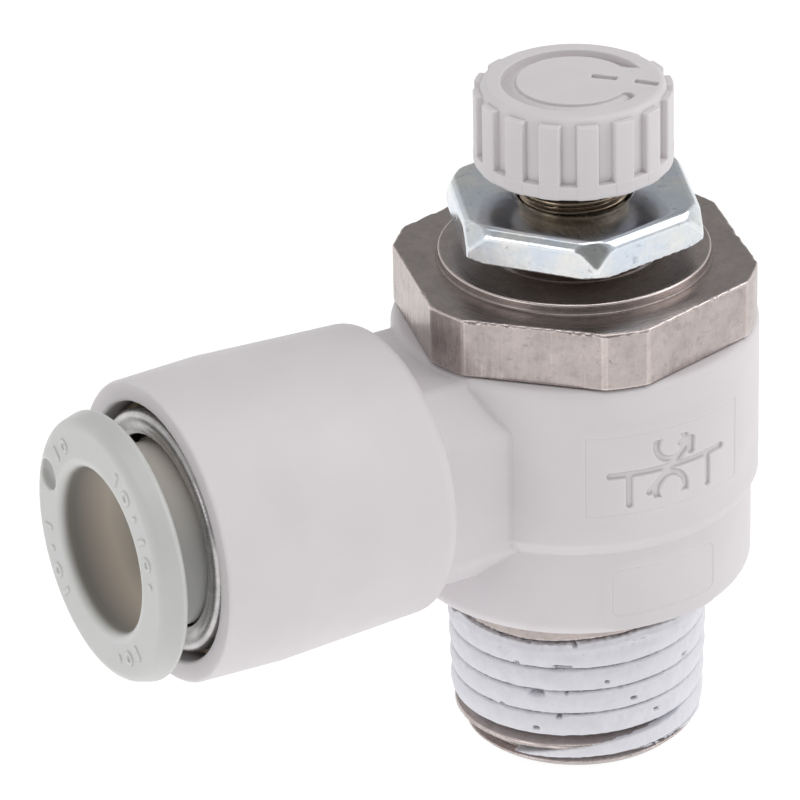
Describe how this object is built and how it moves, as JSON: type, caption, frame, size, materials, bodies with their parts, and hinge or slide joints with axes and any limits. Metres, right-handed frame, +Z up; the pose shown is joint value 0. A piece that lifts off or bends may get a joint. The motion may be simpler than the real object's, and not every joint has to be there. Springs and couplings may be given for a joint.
{
  "type": "flow control valve",
  "caption": "Elbow pneumatic flow control valve: push-to-connect tube arm on a swivelling barrel, taper-threaded metal body, hexagonal flange, lock nut and ribbed needle-adjusting knob.",
  "frame": {"origin": "centre of the threaded end face, on the valve axis", "axes": "+Z up the valve axis from the threaded end to the knob; -X along the tube arm towards the tube's mouth"},
  "size_m": [0.0367, 0.0186, 0.0361],
  "materials": {
    "body_resin": "fine satin moulding, warm light grey",
    "knob_resin": "fine satin moulding, warm light grey",
    "button_resin": "slightly translucent greenish light grey",
    "nickel": "satin nickel plating over turned brass",
    "zinc": "bright blue-white zinc plating over steel",
    "brass": "turned",
    "stainless": "satin pressed stainless steel",
    "sealant": "white baked-on thread sealant",
    "rubber": "nitrile rubber",
    "nylon": "natural nylon"
  },
  "bodies": {
    "body": {"metal_body": "nickel", "thread_sealant": "sealant", "lower_body_o_ring": "rubber", "upper_body_o_ring": "rubber", "check_lip_seal": "rubber", "orifice_seat": "brass", "needle_guide": "nickel"},
    "elbow": {"elbow_body": "body_resin", "tube_seal": "rubber", "seal_spacer": "nylon", "collet_chuck": "stainless", "chuck_collar": "brass", "stopper_ring": "stainless"},
    "button": {"release_button": "button_resin"},
    "needle_carrier": {"needle_o_ring": "rubber"},
    "adjuster": {"needle": "nickel", "needle_stop_ring": "stainless", "knob": "knob_resin"},
    "nut_carrier": {"nut_friction_ring": "nylon"},
    "nut": {"lock_nut": "zinc"}
  },
  "joints": [
    {"name": "elbow_swivel", "type": "hinge", "parent": "body", "child": "elbow", "pos_m": [0, 0, 0.01765], "axis": [0, 0, 1], "continuous": true},
    {"name": "release_button_press", "type": "slide", "parent": "elbow", "child": "button", "axis": [1, 0, 0], "range_m": [0, 0.0012], "stiffness_N_per_m": 400},
    {"name": "needle_lift", "type": "slide", "parent": "body", "child": "needle_carrier", "axis": [0, 0, 1], "range_m": [0, 0.004]},
    {"name": "knob_turn", "type": "hinge", "parent": "needle_carrier", "child": "adjuster", "pos_m": [0, 0, 0.034], "axis": [0, 0, 1], "range_deg": [0, 2885]},
    {"name": "lock_nut_travel", "type": "slide", "parent": "body", "child": "nut_carrier", "axis": [0, 0, -1], "range_m": [0, 0.0012]},
    {"name": "lock_nut_turn", "type": "hinge", "parent": "nut_carrier", "child": "nut", "pos_m": [0, 0, 0.0292], "axis": [0, 0, -1], "range_deg": [0, 870]}
  ],
  "couplings": [
    {"joint": "knob_turn", "follows": "needle_lift", "rad_per_m": 12566},
    {"joint": "lock_nut_turn", "follows": "lock_nut_travel", "rad_per_m": 12566}
  ]
}
